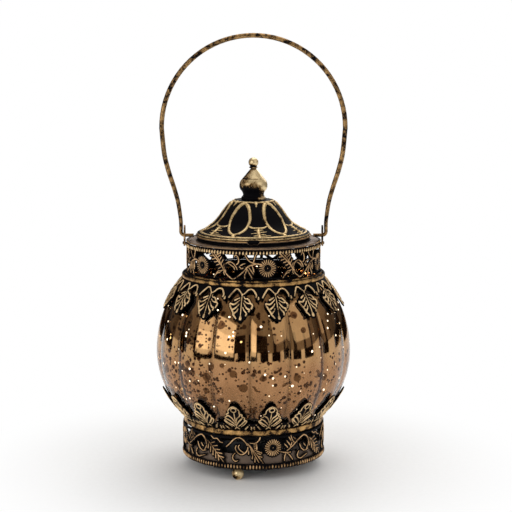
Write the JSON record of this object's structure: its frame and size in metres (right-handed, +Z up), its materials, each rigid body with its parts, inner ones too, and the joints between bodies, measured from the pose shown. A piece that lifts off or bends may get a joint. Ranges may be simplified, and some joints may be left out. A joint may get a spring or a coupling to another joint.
{
  "type": "metal led lantern",
  "caption": "Standing lantern with a ribbed mirrored glass globe between a pierced base and a pierced collar, a lift-off domed lid, a swinging wire bail and a battery LED string inside.",
  "frame": {"origin": "on the floor, under the lantern's vertical axis", "axes": "+Z up, front (the side shown in the picture) towards -Y, the bail's pivot along X"},
  "size_m": [0.1299, 0.1297, 0.2888],
  "materials": {
    "antique_gold": "embossed sheet metal, black patina with the raised parts rubbed to antique gold",
    "patina_plate": "plain sheet metal with a grey-brown patina",
    "mercury_glass": "clear glass silvered inside, copper toned and speckled",
    "aged_wire": "dark brown-gold patina over steel",
    "plated_steel": "zinc plated",
    "black_plastic": "moulded, fine texture",
    "grommet_rubber": "matt black",
    "cell_wrap": "plain dark shrink wrap",
    "copper_wire": "enamelled copper",
    "warm_resin": "clear drop over a warm white LED"
  },
  "bodies": {
    "lantern_body": {"base_band": "antique_gold", "base_ring": "antique_gold", "lower_leaf_crown": "antique_gold", "glass_globe": "mercury_glass", "upper_leaf_apron": "antique_gold", "collar_ring": "antique_gold", "collar_band": "antique_gold", "collar_top_plate": "patina_plate", "ear_left": "aged_wire", "ear_rivet_left": "antique_gold", "ear_right": "aged_wire", "ear_rivet_right": "antique_gold", "base_plate": "patina_plate", "foot_1": "antique_gold", "foot_2": "antique_gold", "foot_3": "antique_gold", "foot_nut_1": "plated_steel", "foot_nut_2": "plated_steel", "foot_nut_3": "plated_steel", "battery_box": "black_plastic", "battery_cell_1": "cell_wrap", "battery_cell_2": "cell_wrap", "contact_spring_1": "plated_steel", "contact_spring_2": "plated_steel", "contact_plate_1": "plated_steel", "contact_plate_2": "plated_steel", "box_screw_1": "plated_steel", "box_screw_2": "plated_steel", "switch_body": "black_plastic", "led_wire": "copper_wire", "wire_grommet": "grommet_rubber", "led_01": "warm_resin", "led_02": "warm_resin", "led_03": "warm_resin", "led_04": "warm_resin", "led_05": "warm_resin", "led_06": "warm_resin", "led_07": "warm_resin", "led_08": "warm_resin", "led_09": "warm_resin", "led_10": "warm_resin", "led_11": "warm_resin", "led_12": "warm_resin", "led_13": "warm_resin", "led_14": "warm_resin", "led_15": "warm_resin", "led_16": "warm_resin", "led_17": "warm_resin"},
    "lid": {"lid_dome": "antique_gold", "finial": "antique_gold", "finial_nut": "plated_steel"},
    "bail": {"bail_handle": "aged_wire"},
    "door": {"battery_door": "black_plastic"},
    "switch": {"switch_slider": "black_plastic"}
  },
  "joints": [
    {"name": "lid_lift", "type": "slide", "parent": "lantern_body", "child": "lid", "axis": [0, 0, 1], "range_m": [0, 0.06]},
    {"name": "bail_swing", "type": "hinge", "parent": "lantern_body", "child": "bail", "pos_m": [0, 0, 0.15548], "axis": [1, 0, 0], "range_deg": [-148, 148]},
    {"name": "door_slide", "type": "slide", "parent": "lantern_body", "child": "door", "axis": [0.2419, 0.9703, 0], "range_m": [0, 0.058]},
    {"name": "switch_slide", "type": "slide", "parent": "lantern_body", "child": "switch", "axis": [0.9703, -0.2419, 0], "range_m": [0, 0.003]}
  ]
}
